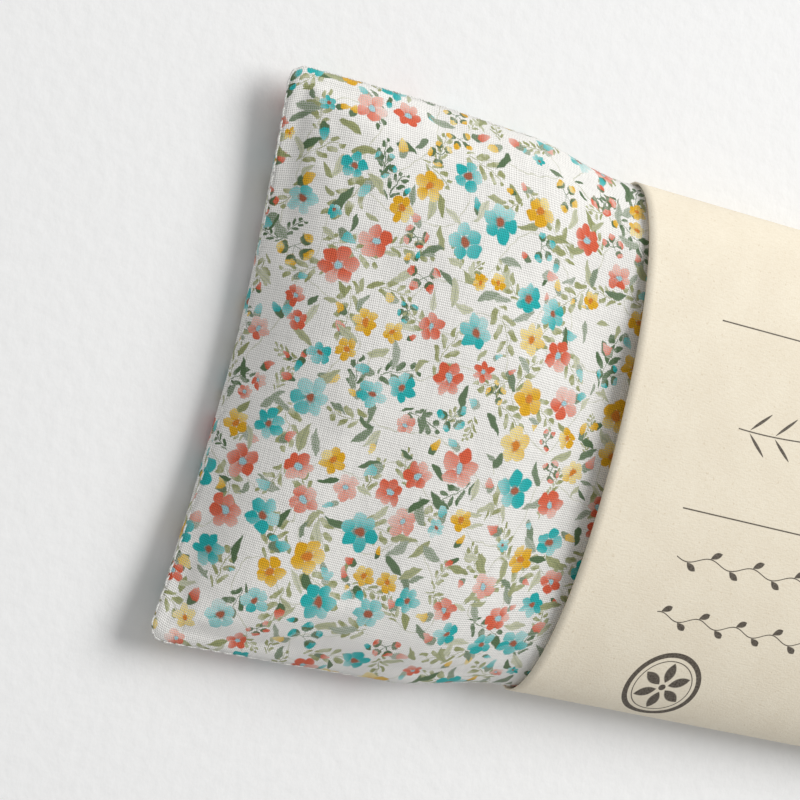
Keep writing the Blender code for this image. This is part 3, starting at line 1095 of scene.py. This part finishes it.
def paper_material():
    g = Graph("cream_paper_look")
    u, v = g.uv("paper")
    cloud = g.noise(u, v, 0.10, 4.0)
    fibre = g.noise(u * 0.6, v * 3.5, 1.0, 3.0)
    grain = g.noise(u, v, 2.4, 2.0)
    fleck = g.noise(u, v, 1.3, 2.0).ramp(0.69, 0.76)
    colour = g.mix(cloud.ramp(0.3, 0.7), CREAM, CREAM_LIGHT)
    colour = g.mix(fibre.ramp(0.35, 0.75) * 0.22, colour, CREAM_FIBRE)
    colour = g.mix(grain.ramp(0.45, 0.8) * 0.16, colour, CREAM_FIBRE)
    colour = g.mix(fleck * 0.30, colour, FLECK)
    ink = band_ink(g, u, v) * (0.80 + grain * 0.25).at_most(1.0)
    colour = g.mix(ink, colour, INK)
    normal = g.bump(fibre + cloud + grain, 0.05 * MM, 0.8)
    roughness = 0.70 + cloud * 0.15 - ink * 0.12
    return g.finish(colour, roughness, normal, Specular_IOR_Level=0.3)


# ---------------- thread, tape and seeds

MACHINE_THREAD = (0.82, 0.82, 0.79)
HAND_THREAD = (0.86, 0.84, 0.78)
THREAD_FUZZ = (0.93, 0.92, 0.89)
ADHESIVE = ((0.80, 0.76, 0.66), (0.88, 0.85, 0.77))
BUBBLE = (0.95, 0.94, 0.90)
LINSEED = ((0.13, 0.055, 0.025), (0.33, 0.17, 0.075))
LAVENDER = ((0.19, 0.15, 0.27), (0.36, 0.31, 0.42))
LINSEED_SHARE = 0.88
# painted shade in the gaps between the seeds
SEED_GAP_SHADE = (0.05, 0.03, 0.02)
SEED_SIZE = 2.7  # millimetres
SEED_FLATNESS = 1.8


def thread_material(name, colour):
    """Two-ply thread, twisted."""
    g = Graph(name)
    u, v = g.uv("thread")
    twist = ((u * 1.6 + v * 2.0) * FULL_TURN).sine()
    fuzz = g.noise(u * 3.0, v * 8.0, 1.0, 2.0)
    # painted shade: the twist darkens the colour in its grooves between the plies
    tone = 0.80 + twist * 0.10 + fuzz * 0.18
    normal = g.bump(twist, 0.03 * MM, 0.8)
    return g.finish(g.shade(g.mix(fuzz, colour, THREAD_FUZZ), tone),
                    0.55 + fuzz * 0.2, normal, Sheen_Weight=0.2)


def tape_material():
    """Clear adhesive over the paper, with a few small air bubbles."""
    g = Graph("clear_adhesive_look")
    x, y, _ = g.place()
    cloud = g.noise(x, y, 0.3, 3.0)
    bubble = g.noise(x, y, 1.1, 1.0).ramp(0.66, 0.72)
    colour = g.mix(cloud, *ADHESIVE)
    colour = g.mix(bubble * 0.5, colour, BUBBLE)
    normal = g.bump(cloud + bubble * 0.5, 0.03 * MM, 0.6)
    return g.finish(colour, 0.16 + cloud * 0.16, normal)


def seed_material():
    """Glossy brown linseed with a few greyish-violet lavender buds among it, and painted shade in
    the gaps between them.
    """
    g = Graph("linseed_and_lavender_look")
    x, y, z = g.place()
    seeds = g.add("ShaderNodeTexVoronoi", voronoi_dimensions="3D", feature="F1")
    g.plug(seeds.inputs["Vector"], g.point(x, y, z * SEED_FLATNESS))
    g.plug(seeds.inputs["Scale"], 1.0 / SEED_SIZE)
    near = Field(g, seeds.outputs["Distance"])
    tone, kind, _ = g.split(seeds.outputs["Color"])
    brown = g.mix(tone, *LINSEED)
    violet = g.mix(tone, *LAVENDER)
    colour = g.mix(kind.above(LINSEED_SHARE), brown, violet)
    # painted shade: the gaps between the seeds are darkened, and made rougher
    gap = near.ramp(0.35, 0.75)
    colour = g.mix(gap * 0.75, colour, SEED_GAP_SHADE)
    normal = g.bump(1.0 - near, 1.1 * MM, 0.9)
    return g.finish(colour, 0.30 + gap * 0.35, normal)


# ---------------- stage

TARGET = Vector((-0.0866, -0.0008, 0.0142))
VIEW_DISTANCE = 0.570
VIEW_ELEVATION = 61.7
VIEW_AZIMUTH = -92.4
VIEW_ROLL = 106.3
LENS = 140.6
SENSOR = 36.0
CLIP = (0.01, 20.0)
FLOOR_HALF = 1.6
FLOOR_PAINT = ((0.86, 0.865, 0.87), (0.90, 0.905, 0.91))
SKY_STRENGTH = 0.43
KEY_AT = Vector((0.90, 0.80, 1.20))
KEY_AIM = Vector((-0.05, 0.0, 0.0))
KEY_WIDTH = 1.35
KEY_POWER = 26.5
KEY_COLOUR = (1.0, 0.99, 0.97)


def make_camera():
    e = math.radians(VIEW_ELEVATION)
    a = math.radians(VIEW_AZIMUTH)
    roll = math.radians(VIEW_ROLL)
    back = Vector((math.sin(a) * math.cos(e), -math.cos(a) * math.cos(e), math.sin(e)))
    level = Vector((math.cos(a), math.sin(a), 0.0))
    rise = back.cross(level)
    right = level * math.cos(roll) + rise * math.sin(roll)
    up = back.cross(right)
    camera = bpy.data.objects.new("camera", bpy.data.cameras.new("camera"))
    camera.data.lens = LENS
    camera.data.sensor_width = SENSOR
    camera.data.clip_start, camera.data.clip_end = CLIP
    turn = Matrix((right, up, back)).transposed()
    camera.matrix_world = Matrix.Translation(TARGET + back * VIEW_DISTANCE) @ turn.to_4x4()
    bpy.context.collection.objects.link(camera)
    bpy.context.scene.camera = camera


def make_key_light():
    data = bpy.data.lights.new("key", "AREA")
    data.shape = "DISK"
    data.size = KEY_WIDTH
    data.energy = KEY_POWER
    data.color = KEY_COLOUR
    light = bpy.data.objects.new("key", data)
    light.location = KEY_AT
    light.rotation_euler = (KEY_AIM - KEY_AT).to_track_quat("-Z", "Y").to_euler()
    bpy.context.collection.objects.link(light)


def make_floor():
    points = square(FLOOR_HALF)
    floor = add_mesh("floor", points, [(0, 1, 2, 3)],
                     [("floor", [(x, y) for x, y, _ in points])])
    g = Graph("painted_floor")
    u, v = g.uv("floor")
    grain = g.noise(u, v, 0.35, 4.0)
    normal = g.bump(grain, 0.25 * MM, 0.5)
    colour = g.mix(grain, *FLOOR_PAINT)
    floor.data.materials.append(g.finish(colour, 0.7 + grain * 0.1, normal))


def make_stage():
    make_camera()
    make_floor()
    bpy.context.scene.view_settings.view_transform = "Standard"
    world = bpy.data.worlds.new("studio")
    bpy.context.scene.world = world
    world.use_nodes = True
    sky = world.node_tree.nodes["Background"]
    sky.inputs["Color"].default_value = (1.0, 1.0, 1.0, 1.0)
    sky.inputs["Strength"].default_value = SKY_STRENGTH
    make_key_light()


# ---------------- assembly

def place(piece, body, slot, material, *nodes):
    piece.data.materials.append(material)
    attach(piece, body)
    if nodes:
        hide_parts(*nodes)


def paint_node(node, material):
    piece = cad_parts[node]
    piece.data.materials.clear()
    piece.data.materials.append(material)


make_stage()
top_points, under_points = settle_cover()
front = make_panel("front_cover", 1, top_points)
place(front, "pillow", "printed_cotton", cotton_material("printed_cotton_look", 0.0), "front_panel")
back = make_panel("back_cover", -1, under_points)
place(back, "pillow", "printed_cotton_back", cotton_material("printed_cotton_back_look", 131.0),
      "back_panel")
band = make_band()
place(band, "band", "cream_paper", paper_material(), "paper_band")
fill = make_fill()
place(fill, "pillow", "linseed_and_lavender", seed_material(), "linseed_lavender_fill")
seam = seam_line(top_points)
stitches = make_stitches("seam_stitches", seam, False)
place(stitches, "pillow", "white_thread",
      thread_material("white_thread_look", MACHINE_THREAD), "seam_thread")
hand_stitches = make_stitches("closing_stitches", seam, True)
place(hand_stitches, "pillow", "hand_sewing_thread",
      thread_material("hand_sewing_thread_look", HAND_THREAD), "closing_thread")
paint_node("band_adhesive_strip", tape_material())
